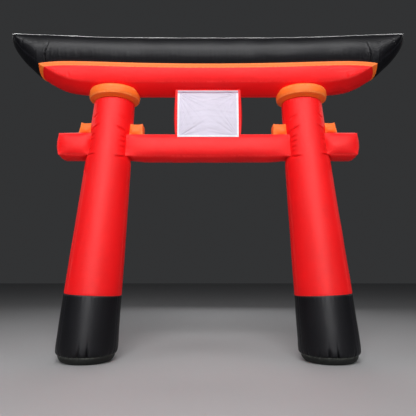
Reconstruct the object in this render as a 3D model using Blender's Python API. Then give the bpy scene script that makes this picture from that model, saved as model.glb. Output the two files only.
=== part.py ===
"""Walk-through festival gate made of inflated cloth: two leaning legs, an upswept roof beam over them,
a square crossbar through them, and a small name board between the two beams.

Metres, +Z up. The origin is on the ground midway between the feet, X runs along the beams, and the
name board faces -Y. Every inflated chamber is one closed solid that stops 0.3 mm short of its
neighbours, where the real pieces are sewn together.
"""

import math

import bmesh
import bpy

# ---------------------------------------------------------------- driving dimensions (metres)
SEAM_GAP = 0.0003  # between two pieces that are sewn together
LEFT, RIGHT = -1, 1

# Legs: round tapered tubes that lean inwards, cut level at the ground and at the top.
LEG_LINE_X = 1.582  # the leaning part of the axis, drawn on down to the ground, meets it here
LEG_LEAN = 0.0863  # inward shift of the axis for each metre of height
LEG_PLUMB_Z = 0.200  # below about this height the axis turns upright
LEG_EASE_Z = 2.000  # above this height the lean eases off
LEG_EASE = 0.0067  # by this much for each metre squared
LEG_TOP_Z = 3.455
LEG_BASE_RADIUS = 0.401
LEG_TOP_RADIUS = 0.272
LEG_SHOULDER = 0.030  # the top edge rolls in by this much
LEG_SIDES = 28
BAND_Z = 0.841  # the seam between the black foot and the red tube
BAND_TILT = 0.047  # the seam climbs outwards by this slope
FOOT_SEAM_Z = 0.098  # the seam between the foot's wall and its sole
FOOT_SEAM_RADIUS = 0.360
FOOT_ROLL_Z = 0.200  # the wall has rolled out to its full radius here
SOLE_FLAT_RADIUS = 0.270

# Collars: puffed discs between the legs and the roof beam.
COLLAR_RADIUS = 0.341
COLLAR_FLAT_RADIUS = 0.300
COLLAR_BOTTOM_Z = LEG_TOP_Z + SEAM_GAP
COLLAR_EDGE_LOW_Z = 3.495
COLLAR_EDGE_HIGH_Z = 3.585
COLLAR_TOP_Z = 3.622
COLLAR_FACE_ROLL = 0.006  # height that the flat faces gain on their way to the edge
COLLAR_EDGE_ROLL = 0.014  # height of the rolled edge of the band
COLLAR_EDGE_INSET = 0.004

# Roof beam: front, back, top and bottom panels sewn round a boat shape, black above an orange belt and
# red below it. Each row is one station from the middle to a tip: distance out, height of the bottom seam.
BELT_EDGE = None  # the seam meets an edge of the belt here, so the belt gives the height
HULL_ROWS = (
    (0.000, 3.670),
    (0.500, 3.670),
    (1.000, 3.670),
    (1.400, 3.671),
    (1.600, 3.676),
    (1.750, 3.685),
    (1.880, 3.706),
    (1.970, 3.731),
    (2.050, 3.768),
    (2.130, 3.816),
    (2.205, BELT_EDGE),
    (2.285, BELT_EDGE),
    (2.400, 4.016),
    (2.500, 4.104),
    (2.583, 4.194),
    (2.643, 4.276),
    (2.680, 4.350),
)
BELT_LOW_ROW, BELT_HIGH_ROW = 10, 11  # the belt's lower and upper edges run out at these stations
BELT_LOW_Z = 3.844
BELT_HIGH_Z = 3.903
TIP_X = HULL_ROWS[-1][0]
HULL_HALF_DEPTH = 0.290
TIP_NARROWING = 0.060
NARROWING_START_X = 1.900
ROOF_EDGE_Z = 4.270
ROOF_EDGE_RISE = 0.092  # of the roof's front edge at its tips
ROOF_EDGE_POWER = 3.0
BELT_RISE = 0.0132  # of the belt, for each metre squared from the middle
BELT_DROOP_X = 2.360  # and it droops back to its middle height by here
BELT_DROOP_POWER = 6
ROOF_CROWN = 0.085
UNDER_BULGE = 0.100
UNDER_BULGE_LOSS = 0.035  # at the tips
UNDER_LOSS_START_X = 2.000
UNDER_LOSS_POWER = 1.5
ROOF_BULGE = 0.075
RED_BULGE = 0.030
FULL_SWELL_HEIGHT = 0.150  # panels lower than this bulge less
FULL_CROWN_HEIGHT = 0.350

# Crossbar: a square inflated tube that is sewn to the legs, with a stub outside each leg.
BAR_HALF_DEPTH = 0.150
BAR_HALF_HEIGHT = 0.146
BAR_Z = 2.816
BAR_BULGE = 0.050
STUB_Z = 2.835
STUB_END_X = 2.005
STUB_END_BULGE = 0.055
BAR_INNER_END_X = 1.100  # just inside the leg, before the leg is cut away
STUB_INNER_END_X = 1.560

# Wedges: small cushions that sit on the crossbar, on both sides of each leg.
WEDGE_HALF_DEPTH = 0.100
WEDGE_TOP_ABOVE_SEAM = 0.165
CUT_OVERLAP = 0.020  # a piece reaches this far into the seam of its neighbour before it is cut back
WEDGE_BULGE = 0.018
WEDGE_INNER_X = (0.890, 1.075)
WEDGE_OUTER_X = (1.570, 1.756)

# Tablet: the box between the crossbar and the roof beam, with a white cloth name board taped on it.
TABLET_HALF_WIDTH = 0.442
TABLET_HALF_DEPTH = 0.140
TABLET_BULGE = 0.034
TABLET_SIDE_BULGE = 0.0272
BOARD_HALF_WIDTH = 0.410
BOARD_LOW_Z = 2.916
BOARD_HIGH_Z = 3.578
BOARD_THICKNESS = 0.002
BOARD_LOW_Y = -0.186
BOARD_HIGH_Y = -0.162
BOARD_BELLY = 0.024
TAPE_WIDTH = 0.025
TAPE_THICKNESS = 0.0015

# name: (red, green, blue), roughness
CLOTH = {
    "red_cloth": ((0.90, 0.012, 0.016), 0.45),
    "black_cloth": ((0.014, 0.014, 0.018), 0.42),
    "orange_cloth": ((0.95, 0.24, 0.04), 0.45),
    "sole_cloth": ((0.045, 0.047, 0.043), 0.60),
    "white_cloth": ((0.80, 0.76, 0.86), 0.60),
    "white_tape": ((0.88, 0.88, 0.92), 0.50),
}


# ---------------------------------------------------------------- small tools
def clear_scene():
    for old in list(bpy.data.objects):
        bpy.data.objects.remove(old, do_unlink=True)


def make_materials():
    made = {}
    for name, (colour, roughness) in CLOTH.items():
        material = bpy.data.materials.new(name)
        material.use_nodes = True
        shader = material.node_tree.nodes["Principled BSDF"]
        shader.inputs["Base Color"].default_value = (*colour, 1.0)
        shader.inputs["Roughness"].default_value = roughness
        shader.inputs["Metallic"].default_value = 0.0
        made[name] = material
    return made


def new_object(name, bm, material):
    """Turn a finished bmesh into a named object, faces pointing out. Every quad is split along the same
    diagonal, so that a piece and the cutter grown from it keep an even gap."""
    bmesh.ops.recalc_face_normals(bm, faces=bm.faces)
    bmesh.ops.triangulate(bm, faces=bm.faces, quad_method="FIXED")
    mesh = bpy.data.meshes.new(name)
    bm.to_mesh(mesh)
    bm.free()
    mesh.shade_smooth()
    mesh.set_sharp_from_angle(angle=math.radians(40))
    obj = bpy.data.objects.new(name, mesh)
    if material:
        mesh.materials.append(material)
    bpy.context.scene.collection.objects.link(obj)
    return obj


def as_cutter(obj):
    obj.hide_render = True
    obj.display_type = "WIRE"
    return obj


def cut_by(obj, *cutters):
    for cutter in cutters:
        cut = obj.modifiers.new("cut_by_" + cutter.name, "BOOLEAN")
        cut.operation = "DIFFERENCE"
        cut.solver = "EXACT"
        cut.object = cutter


def loft(rings):
    """Closed skin over rings of equally many points, with a flat cap on both ends."""
    bm = bmesh.new()
    loops = [[bm.verts.new(point) for point in ring] for ring in rings]
    for low, high in zip(loops, loops[1:]):
        for i in range(len(low)):
            j = (i + 1) % len(low)
            bm.faces.new((low[i], low[j], high[j], high[i]))
    bm.faces.new(loops[0])
    bm.faces.new(loops[-1])
    return bm


def puff(v, power=0.7):
    """Height of an inflated panel across its width: 1 in the middle, 0 on its seams at v = -1 and 1."""
    return max(0.0, 1.0 - v * v) ** power


# ---------------------------------------------------------------- legs, feet, soles, collars
def leg_axis_x(side, z):
    eased = max(0.0, z - LEG_EASE_Z)
    return side * (LEG_LINE_X - LEG_LEAN * math.hypot(z, LEG_PLUMB_Z) + LEG_EASE * eased * eased)


def leg_radius(z):
    return LEG_BASE_RADIUS + (LEG_TOP_RADIUS - LEG_BASE_RADIUS) * z / LEG_TOP_Z


def seam_tilt(z):
    """The rings tilt most at the band seam, and lie level at the ground and at the top."""
    if z < BAND_Z:
        return BAND_TILT * z / BAND_Z
    return BAND_TILT * (LEG_TOP_Z - z) / (LEG_TOP_Z - BAND_Z)


def leg_ring(side, z, radius, tilt=0.0):
    ring = []
    for i in range(LEG_SIDES):
        turn = 2.0 * math.pi * i / LEG_SIDES
        out = radius * math.cos(turn)
        ring.append((leg_axis_x(side, z) + out, radius * math.sin(turn), z + tilt * side * out))
    return ring


def leg_rings(side, grow=0.0):
    low_z = BAND_Z + SEAM_GAP
    straight_top = LEG_TOP_Z - LEG_SHOULDER
    steps = 8
    rings = []
    for i in range(steps + 1):
        z = low_z + (straight_top - low_z) * i / steps
        rings.append(leg_ring(side, z, leg_radius(z) + grow, seam_tilt(z)))
    for degrees in (40, 90):
        turn = math.radians(degrees)
        inset = LEG_SHOULDER * (1.0 - math.cos(turn))
        z = straight_top + LEG_SHOULDER * math.sin(turn)
        rings.append(leg_ring(side, z, leg_radius(z) - inset + grow))
    return rings


def foot_rings(side):
    rings = []
    full_radius = leg_radius(FOOT_ROLL_Z)
    for degrees in (0, 30, 60, 90):
        turn = math.radians(degrees)
        z = FOOT_SEAM_Z + (FOOT_ROLL_Z - FOOT_SEAM_Z) * (1.0 - math.cos(turn))
        radius = FOOT_SEAM_RADIUS + (full_radius - FOOT_SEAM_RADIUS) * math.sin(turn)
        rings.append(leg_ring(side, z, radius, seam_tilt(z) * math.sin(turn)))
    steps = 4
    for i in range(1, steps + 1):
        z = FOOT_ROLL_Z + (BAND_Z - FOOT_ROLL_Z) * i / steps
        rings.append(leg_ring(side, z, leg_radius(z), seam_tilt(z)))
    return rings


def sole_rings(side):
    height = FOOT_SEAM_Z - SEAM_GAP
    rings = []
    for degrees in (0, 30, 60, 90):
        turn = math.radians(degrees)
        radius = SOLE_FLAT_RADIUS + (FOOT_SEAM_RADIUS - SOLE_FLAT_RADIUS) * math.sin(turn)
        rings.append(leg_ring(side, height * (1.0 - math.cos(turn)), radius))
    return rings


def collar_rings(side):
    """A disc whose rim is an upright band with rolled edges, level all round the leg's top."""
    x_shift = leg_axis_x(side, LEG_TOP_Z)
    mid_radius = (COLLAR_FLAT_RADIUS + COLLAR_RADIUS) / 2.0
    profile = (  # height, radius
        (COLLAR_BOTTOM_Z, COLLAR_FLAT_RADIUS),
        (COLLAR_BOTTOM_Z + COLLAR_FACE_ROLL, mid_radius),
        (COLLAR_EDGE_LOW_Z - COLLAR_EDGE_ROLL, COLLAR_RADIUS - COLLAR_EDGE_INSET),
        (COLLAR_EDGE_LOW_Z, COLLAR_RADIUS),
        (COLLAR_EDGE_HIGH_Z, COLLAR_RADIUS),
        (COLLAR_EDGE_HIGH_Z + COLLAR_EDGE_ROLL, COLLAR_RADIUS - COLLAR_EDGE_INSET),
        (COLLAR_TOP_Z - COLLAR_FACE_ROLL, mid_radius),
        (COLLAR_TOP_Z, COLLAR_FLAT_RADIUS),
    )
    rings = []
    for z, radius in profile:
        ring = leg_ring(side, z, radius)
        level_shift = x_shift - leg_axis_x(side, z)
        rings.append([(x + level_shift, y, up) for x, y, up in ring])
    return rings


# ---------------------------------------------------------------- roof beam
def past(x, start):
    """How far x is on the way from start to the tip, from 0 to 1."""
    return max(0.0, (abs(x) - start) / (TIP_X - start))


def hull_half_depth(x):
    return HULL_HALF_DEPTH - TIP_NARROWING * past(x, NARROWING_START_X) ** 2


def roof_edge_z(x):
    return ROOF_EDGE_Z + ROOF_EDGE_RISE * past(x, 0.0) ** ROOF_EDGE_POWER


def belt_z(level, x):
    return level + BELT_RISE * x * x * (1.0 - (x / BELT_DROOP_X) ** BELT_DROOP_POWER)


def seam_point(row):
    """Distance out and height of the bottom seam at this station."""
    x, z = HULL_ROWS[row]
    if row == BELT_LOW_ROW:
        z = belt_z(BELT_LOW_Z, x)
    if row == BELT_HIGH_ROW:
        z = belt_z(BELT_HIGH_Z, x)
    return x, z


def row_normal(row):
    """Unit vector (out, up) that points out of the hull's lower outline at this station."""
    inner = seam_point(max(0, row - 1))
    outer = seam_point(min(len(HULL_ROWS) - 1, row + 1))
    run, rise = outer[0] - inner[0], outer[1] - inner[1]
    length = math.hypot(run, rise)
    return rise / length, -run / length


def across_points(steps=4):
    return [step / steps for step in range(steps + 1)]


def rounded_under(side, row, shift=0.0, lift=0.0):
    """The bottom panel bulges away from its two seams: points from the middle to the front seam."""
    x, z = seam_point(row)
    out, up = row_normal(row)
    bulge = UNDER_BULGE - UNDER_BULGE_LOSS * past(x, UNDER_LOSS_START_X) ** UNDER_LOSS_POWER
    points = []
    for across in across_points():
        drop = bulge * (1.0 - across * across)
        points.append((side * (x + shift + out * drop), -hull_half_depth(x) * across, z + lift + up * drop))
    return points


def level_line(side, row, z, shift=0.0, crown=0.0):
    """A level or crowned edge: points from the middle to the front seam."""
    x = HULL_ROWS[row][0]
    points = []
    for across in across_points():
        rise = crown * (1.0 - across * across)
        points.append((side * (x + shift), -hull_half_depth(x) * across, z + rise))
    return points


def slab_ring(bottom, top, bulge, steps):
    """Closed section from a bottom edge, a puffed front and back, and a top edge."""
    low, high = bottom[-1], top[-1]
    swell = bulge * min(1.0, (high[2] - low[2]) / FULL_SWELL_HEIGHT)
    half = list(bottom)
    for step in range(1, steps):
        up = step / steps
        half.append((low[0], low[1] - swell * puff(2 * up - 1), low[2] + (high[2] - low[2]) * up))
    half += reversed(top)
    back = [(x, -y, z) for x, y, z in reversed(half[1:-1])]
    return half + back


def red_ring(side, row):
    """The part below the belt; at its last station only the bottom panel's bulge is left."""
    top_z = belt_z(BELT_LOW_Z, HULL_ROWS[row][0]) - SEAM_GAP / 2.0
    lift = -SEAM_GAP / 2.0 if row == BELT_LOW_ROW else 0.0
    return slab_ring(rounded_under(side, row, 0.0, lift), level_line(side, row, top_z), RED_BULGE, 4)


def belt_ring(side, row, rounded):
    """The belt is level below until the red part ends, then takes over the bottom panel's bulge."""
    x = HULL_ROWS[row][0]
    starts, ends = row == BELT_LOW_ROW, row == BELT_HIGH_ROW
    shift = 1.5 * SEAM_GAP if starts else 0.0
    top_z = belt_z(BELT_HIGH_Z, x) - SEAM_GAP / 2.0
    low_z = belt_z(BELT_LOW_Z, x) + SEAM_GAP / 2.0
    lift = SEAM_GAP / 2.0 * (starts - ends)
    bottom = rounded_under(side, row, shift, lift) if rounded else level_line(side, row, low_z, shift)
    return slab_ring(bottom, level_line(side, row, top_z, shift), 0.0, 1)


def roof_ring(side, row, rounded):
    """The black part: level below until the belt ends, then rounded out to the tip."""
    starts = row == BELT_HIGH_ROW
    shift = 1.5 * SEAM_GAP if starts else 0.0
    low_z = belt_z(BELT_HIGH_Z, HULL_ROWS[row][0]) + SEAM_GAP / 2.0
    lift = SEAM_GAP / 2.0 if starts else 0.0
    bottom = rounded_under(side, row, shift, lift) if rounded else level_line(side, row, low_z, shift)
    top_z = roof_edge_z(HULL_ROWS[row][0])
    crown = ROOF_CROWN * min(1.0, (top_z - bottom[-1][2]) / FULL_CROWN_HEIGHT)
    return slab_ring(bottom, level_line(side, row, top_z, shift, crown), ROOF_BULGE, 6)


def both_ways(make_rings):
    """Rings from the left tip to the right tip; the middle ring is made once."""
    return make_rings(LEFT)[::-1] + make_rings(RIGHT)[1:]


def red_rings(side):
    return [red_ring(side, row) for row in range(BELT_LOW_ROW + 1)]


def belt_rings(side):
    rings = [belt_ring(side, row, False) for row in range(BELT_LOW_ROW + 1)]
    return rings + [belt_ring(side, row, True) for row in (BELT_LOW_ROW, BELT_HIGH_ROW)]


def roof_rings(side):
    rings = [roof_ring(side, row, False) for row in range(BELT_HIGH_ROW + 1)]
    return rings + [roof_ring(side, row, True) for row in range(BELT_HIGH_ROW, len(HULL_ROWS))]


def hull_slice(name, make_rings, material, grow=0.0):
    bm = loft(both_ways(make_rings))
    bmesh.ops.remove_doubles(bm, verts=bm.verts, dist=1e-5)
    bmesh.ops.dissolve_degenerate(bm, edges=bm.edges, dist=1e-6)
    bmesh.ops.recalc_face_normals(bm, faces=bm.faces)
    bm.normal_update()
    places = [vert.co + vert.normal * grow for vert in bm.verts]
    for vert, place in zip(bm.verts, places):
        vert.co = place
    return new_object(name, bm, material)


# ---------------------------------------------------------------- puffed boxes
def puffed_box(centre, half, bulge, cells, end_power, material, name, grow=0.0):
    """A sewn box whose six panels bulge between straight seams. half, bulge and cells are (x, y, z);
    end_power is how abruptly the long panels reach their full bulge next to the end seams."""
    bm = bmesh.new()
    verts = {}

    def corner(i, j, k):
        key = (i, j, k)
        if key not in verts:
            u, v, w = (2.0 * n / count - 1.0 for n, count in zip(key, cells))
            along = 1.0 - abs(u) ** end_power
            swell = (
                bulge[0] * puff(v) * puff(w) if abs(u) == 1.0 else 0.0,
                bulge[1] * puff(w) * along if abs(v) == 1.0 else 0.0,
                bulge[2] * puff(v) * along if abs(w) == 1.0 else 0.0,
            )
            place = []
            for mid, size, share, extra in zip(centre, half, (u, v, w), swell):
                place.append(mid + (size + grow) * share + math.copysign(extra, share))
            verts[key] = bm.verts.new(place)
        return verts[key]

    for axis in range(3):
        a, b = [other for other in range(3) if other != axis]
        for end in (0, cells[axis]):
            for i in range(cells[a]):
                for j in range(cells[b]):
                    quad = []
                    for di, dj in ((0, 0), (1, 0), (1, 1), (0, 1)):
                        key = [0, 0, 0]
                        key[axis], key[a], key[b] = end, i + di, j + dj
                        quad.append(corner(*key))
                    bm.faces.new(quad)
    return new_object(name, bm, material)


def crossbar_box(name, x_low, x_high, z, material, end_bulge, grow=0.0):
    long_bar = x_high - x_low > 1.0
    return puffed_box(
        centre=((x_low + x_high) / 2.0, 0.0, z),
        half=((x_high - x_low) / 2.0, BAR_HALF_DEPTH, BAR_HALF_HEIGHT),
        bulge=(end_bulge, BAR_BULGE, BAR_BULGE),
        cells=(16 if long_bar else 7, 6, 6),
        end_power=16 if long_bar else 6,
        material=material,
        name=name,
        grow=grow,
    )


def side_span(side, span):
    return sorted(side * x for x in span)


# ---------------------------------------------------------------- name board and its tapes
def board_front_y(z):
    """The board's back face: it hangs from under the beam and ends over the crossbar's front."""
    up = (z - BOARD_LOW_Z) / (BOARD_HIGH_Z - BOARD_LOW_Z)
    return BOARD_LOW_Y + (BOARD_HIGH_Y - BOARD_LOW_Y) * up - BOARD_BELLY * 4.0 * up * (1.0 - up)


def cloth_strip(name, x_span, z_span, lift, thickness, columns, rows, material):
    """A thin sheet that follows the board's belly, lift in front of it."""
    bm = bmesh.new()
    grid = []
    for offset in (lift, lift + thickness):
        layer = []
        for row in range(rows + 1):
            z = z_span[0] + (z_span[1] - z_span[0]) * row / rows
            y = board_front_y(z) - offset
            xs = (x_span[0] + (x_span[1] - x_span[0]) * column / columns for column in range(columns + 1))
            layer.append([bm.verts.new((x, y, z)) for x in xs])
        grid.append(layer)
    near, far = grid
    for row in range(rows):
        for column in range(columns):
            for layer in (near, far):
                bm.faces.new(
                    (layer[row][column], layer[row][column + 1], layer[row + 1][column + 1], layer[row + 1][column])
                )
    for row in range(rows):
        for column in (0, columns):
            bm.faces.new((near[row][column], near[row + 1][column], far[row + 1][column], far[row][column]))
    for column in range(columns):
        for row in (0, rows):
            bm.faces.new((near[row][column], near[row][column + 1], far[row][column + 1], far[row][column]))
    return new_object(name, bm, material)


# ---------------------------------------------------------------- the gate
def build_roof_beam(cloth):
    hull_slice("roof_beam_black", roof_rings, cloth["black_cloth"])
    hull_slice("roof_beam_belt", belt_rings, cloth["orange_cloth"])
    hull_slice("roof_beam_red", red_rings, cloth["red_cloth"])
    return as_cutter(hull_slice("cutter_roof_beam", red_rings, None, grow=SEAM_GAP))


def build_leg(side, tag, cloth, beam_cutter):
    new_object("leg_" + tag, loft(leg_rings(side)), cloth["red_cloth"])
    new_object("foot_" + tag, loft(foot_rings(side)), cloth["black_cloth"])
    new_object("sole_" + tag, loft(sole_rings(side)), cloth["sole_cloth"])
    collar = new_object("collar_" + tag, loft(collar_rings(side)), cloth["orange_cloth"])
    cut_by(collar, beam_cutter)
    return as_cutter(new_object("cutter_leg_" + tag, loft(leg_rings(side, SEAM_GAP)), None))


def build_crossbar(cloth, leg_cutters):
    red = cloth["red_cloth"]
    middle = crossbar_box("crossbar_middle", -BAR_INNER_END_X, BAR_INNER_END_X, BAR_Z, red, 0.0)
    cut_by(middle, *leg_cutters.values())
    bar_cutters = {
        "middle": as_cutter(
            crossbar_box("cutter_bar", -BAR_INNER_END_X, BAR_INNER_END_X, BAR_Z, None, 0.0, grow=SEAM_GAP)
        )
    }
    for side, tag in ((LEFT, "left"), (RIGHT, "right")):
        span = side_span(side, (STUB_INNER_END_X, STUB_END_X))
        stub = crossbar_box("crossbar_end_" + tag, *span, STUB_Z, red, STUB_END_BULGE)
        cut_by(stub, leg_cutters[tag])
        bar_cutters[tag] = as_cutter(
            crossbar_box("cutter_stub_" + tag, *span, STUB_Z, None, STUB_END_BULGE, grow=SEAM_GAP)
        )
    return bar_cutters


def build_wedges(cloth, leg_cutters, bar_cutters):
    for side, tag in ((LEFT, "left"), (RIGHT, "right")):
        rows = (  # place, reach along X, height of the crossbar's axis there, crossbar piece below
            ("inner", WEDGE_INNER_X, BAR_Z, bar_cutters["middle"]),
            ("outer", WEDGE_OUTER_X, STUB_Z, bar_cutters[tag]),
        )
        for place, reach, bar_z, bar_cutter in rows:
            x_low, x_high = side_span(side, reach)
            z_low = bar_z + BAR_HALF_HEIGHT - CUT_OVERLAP
            z_high = bar_z + BAR_HALF_HEIGHT + WEDGE_TOP_ABOVE_SEAM
            wedge = puffed_box(
                centre=((x_low + x_high) / 2.0, 0.0, (z_low + z_high) / 2.0),
                half=((x_high - x_low) / 2.0, WEDGE_HALF_DEPTH, (z_high - z_low) / 2.0),
                bulge=(WEDGE_BULGE, WEDGE_BULGE, WEDGE_BULGE),
                cells=(5, 5, 5),
                end_power=4,
                material=cloth["orange_cloth"],
                name=f"wedge_{tag}_{place}",
            )
            cut_by(wedge, bar_cutter, leg_cutters[tag])


def build_tablet(cloth, beam_cutter, bar_cutter):
    z_low = BAR_Z + BAR_HALF_HEIGHT - CUT_OVERLAP
    z_high = HULL_ROWS[0][1] - CUT_OVERLAP
    tablet = puffed_box(
        centre=(0.0, 0.0, (z_low + z_high) / 2.0),
        half=(TABLET_HALF_WIDTH, TABLET_HALF_DEPTH, (z_high - z_low) / 2.0),
        bulge=(TABLET_SIDE_BULGE, TABLET_BULGE, 0.0),
        cells=(8, 5, 8),
        end_power=4,
        material=cloth["red_cloth"],
        name="tablet_box",
    )
    cut_by(tablet, beam_cutter, bar_cutter)


def build_name_board(cloth):
    wide = (-BOARD_HALF_WIDTH, BOARD_HALF_WIDTH)
    tall = (BOARD_LOW_Z, BOARD_HIGH_Z)
    inner = (-BOARD_HALF_WIDTH + TAPE_WIDTH + SEAM_GAP, BOARD_HALF_WIDTH - TAPE_WIDTH - SEAM_GAP)
    cloth_strip("name_board", wide, tall, 0.0, BOARD_THICKNESS, 4, 10, cloth["white_cloth"])
    lift = BOARD_THICKNESS + SEAM_GAP
    rows = (  # name, reach along X, reach up, rows that follow the belly
        ("left", (wide[0], wide[0] + TAPE_WIDTH), tall, 10),
        ("right", (wide[1] - TAPE_WIDTH, wide[1]), tall, 10),
        ("bottom", inner, (tall[0], tall[0] + TAPE_WIDTH), 1),
        ("top", inner, (tall[1] - TAPE_WIDTH, tall[1]), 1),
    )
    for name, across, upwards, steps in rows:
        cloth_strip("board_tape_" + name, across, upwards, lift, TAPE_THICKNESS, 1, steps, cloth["white_tape"])


def build_gate():
    clear_scene()
    cloth = make_materials()
    beam_cutter = build_roof_beam(cloth)
    leg_cutters = {}
    for side, tag in ((LEFT, "left"), (RIGHT, "right")):
        leg_cutters[tag] = build_leg(side, tag, cloth, beam_cutter)
    bar_cutters = build_crossbar(cloth, leg_cutters)
    build_wedges(cloth, leg_cutters, bar_cutters)
    build_tablet(cloth, beam_cutter, bar_cutters["middle"])
    build_name_board(cloth)


build_gate()
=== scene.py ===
# %% [markdown]
# # An inflated festival gate
#
# The real gate is sewn from coated nylon and held up by air alone: two leaning legs with black feet, a
# boat-shaped roof beam with an orange belt, a square crossbar, and a small box with a white name board.
# Everything here is built in metres in one frame, around the plain model that the frame loads. Each plain
# piece is replaced by a finely divided skin with its seams, gathers and creases.

# %% Load the frame
import math

import bpy
import numpy as np
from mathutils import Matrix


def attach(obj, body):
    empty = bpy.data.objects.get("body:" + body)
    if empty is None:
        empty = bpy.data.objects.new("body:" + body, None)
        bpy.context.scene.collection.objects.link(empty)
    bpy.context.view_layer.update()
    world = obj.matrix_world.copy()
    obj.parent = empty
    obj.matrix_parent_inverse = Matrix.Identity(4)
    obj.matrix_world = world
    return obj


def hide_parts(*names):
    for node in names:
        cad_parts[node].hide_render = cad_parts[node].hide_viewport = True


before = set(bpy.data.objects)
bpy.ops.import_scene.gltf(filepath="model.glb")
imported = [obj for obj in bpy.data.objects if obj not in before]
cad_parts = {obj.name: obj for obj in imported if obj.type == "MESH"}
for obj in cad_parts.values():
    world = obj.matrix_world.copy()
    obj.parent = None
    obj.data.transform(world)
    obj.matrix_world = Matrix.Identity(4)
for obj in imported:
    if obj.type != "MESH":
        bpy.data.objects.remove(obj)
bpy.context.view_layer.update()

LEFT, RIGHT = -1, 1
CLEAR = 0.001  # between two neighbouring skins

# %% [markdown]
# ## Cloth that is never quite even
#
# Air pulls cloth smooth in the middle of a panel, and the sewing thread gathers it along the seams. One way
# to get that is a cloth simulation with pressure, but a gate of 5 m with pleats of 3 cm needs millions of
# points before the pleats appear. So the skins are shaped by formulas, like a sculptor who knows where each
# pleat belongs. A few small helpers carry all of them: a soft step, a bell, a wandering line, a crumple, a
# crease and a ripple.


# %% Helpers for uneven cloth
def soft_step(start, end, value):
    """0 before start, 1 after end, with a smooth way between."""
    share = np.clip((value - start) / (end - start), 0.0, 1.0)
    return share * share * (3.0 - 2.0 * share)


def bell(distance, width):
    """1 on a line, falling to nothing at about twice the width."""
    return np.exp(-((distance / width) ** 2))


def wander(place, step, seed):
    """A smooth random line between -1 and 1 that turns about once every step."""
    table = np.random.default_rng(seed).uniform(-1.0, 1.0, 2048)
    at = np.asarray(place) / step + 1024.0
    low = np.floor(at).astype(int)
    share = soft_step(0.0, 1.0, at - low)
    return table[low % 2048] * (1.0 - share) + table[(low + 1) % 2048] * share


def crumple(across, up, step, seed):
    """The same over a surface: soft hollows and swellings about one step wide."""
    table = np.random.default_rng(seed).uniform(-1.0, 1.0, (256, 256))
    a, b = np.asarray(across) / step + 128.0, np.asarray(up) / step + 128.0
    i, j = np.floor(a).astype(int), np.floor(b).astype(int)
    s, t = soft_step(0.0, 1.0, a - i), soft_step(0.0, 1.0, b - j)
    i, j = i % 255, j % 255
    low = table[i, j] * (1.0 - s) + table[i + 1, j] * s
    high = table[i, j + 1] * (1.0 - s) + table[i + 1, j + 1] * s
    return low * (1.0 - t) + high * t


def crease(across, up, start, end, width, depth, bow=0.0):
    """A trough with a low ridge above it, from start (deep) to end (fading out)."""
    run = np.array(end, float) - np.array(start, float)
    length = math.hypot(*run)
    along = ((across - start[0]) * run[0] + (up - start[1]) * run[1]) / length**2
    off = ((up - start[1]) * run[0] - (across - start[0]) * run[1]) / length
    off = off - bow * 4.0 * along * (1.0 - along)
    fade = soft_step(-0.12, 0.06, along) * (1.0 - soft_step(0.45, 1.0, along))
    return depth * fade * (0.45 * bell(off - 1.7 * width, 1.2 * width) - bell(off, width))


def ripple(place, beat, unevenness=0.0):
    """Gathers with a crest every beat, moved along by the unevenness."""
    return np.sin(2.0 * np.pi * place / beat + unevenness)


on_line = crease(0.05, 0.0, (0, 0), (0.2, 0), 0.01, 0.008)
print("a crease 8 mm deep, on its line:", round(float(on_line), 4), "m")

# %% [markdown]
# ## From rings of points to a sewn skin
#
# Every chamber of the gate is a tube of some kind, so each skin is a stack of closed rings. Blender could
# loft them from curves, but plain arrays of points are quicker and let every point be moved. The skin also
# carries three notes for its finish: a cloth map in metres for the weave, and for every point the distance
# to the nearest seam and the way along it, for the stitches.


# %% A mesh with its cloth map and notes
SHARP = math.radians(50.0)  # folds sharper than this show as an edge


def cloth_object(name, points, faces, cloth_map, notes, cloth):
    """A smooth mesh; notes gives every point a number under each label."""
    mesh = bpy.data.meshes.new(name)
    mesh.from_pydata(points.tolist(), [], faces)
    mesh.uv_layers.new(name="cloth_map").data.foreach_set("uv", cloth_map.astype(np.float32).ravel())
    for label, values in notes.items():
        mesh.attributes.new(label, "FLOAT", "POINT").data.foreach_set("value", values.astype(np.float32))
    mesh.shade_smooth()
    mesh.set_sharp_from_angle(angle=SHARP)
    mesh.materials.append(cloth)
    piece = bpy.data.objects.new(name, mesh)
    bpy.context.scene.collection.objects.link(piece)
    return piece


def distance_along(line):
    """Metres from the first point of a flat line to each of its points."""
    return np.append(0.0, np.cumsum(np.hypot(*np.diff(line, axis=0).T)))


def girth(ring):
    """Metres round a closed ring that stands across the x axis."""
    return distance_along(np.vstack([ring, ring[:1]])[:, 1:])


unit_square = np.array([(0, 0, 0), (0, 1, 0), (0, 1, 1), (0, 0, 1)], float)
print("marks round a square of 1 m:", girth(unit_square).tolist())


# %% A skin over rings
def ring_faces(rows, columns):
    """Quads between neighbouring rings, with the row and column of each, and a fan over both ends."""
    row, column = np.meshgrid(np.arange(rows - 1), np.arange(columns), indexing="ij")
    after = (column + 1) % columns
    below, above = row * columns, (row + 1) * columns
    quads = np.stack([below + column, below + after, above + after, above + column], -1).reshape(-1, 4)
    turn, last_ring = np.arange(columns), (rows - 1) * columns
    following = (turn + 1) % columns
    low_fan = np.stack([following, turn, np.full(columns, rows * columns)], -1)
    high_fan = np.stack([last_ring + turn, last_ring + following, np.full(columns, rows * columns + 1)], -1)
    return quads, np.vstack([low_fan, high_fan]), row, column


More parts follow.
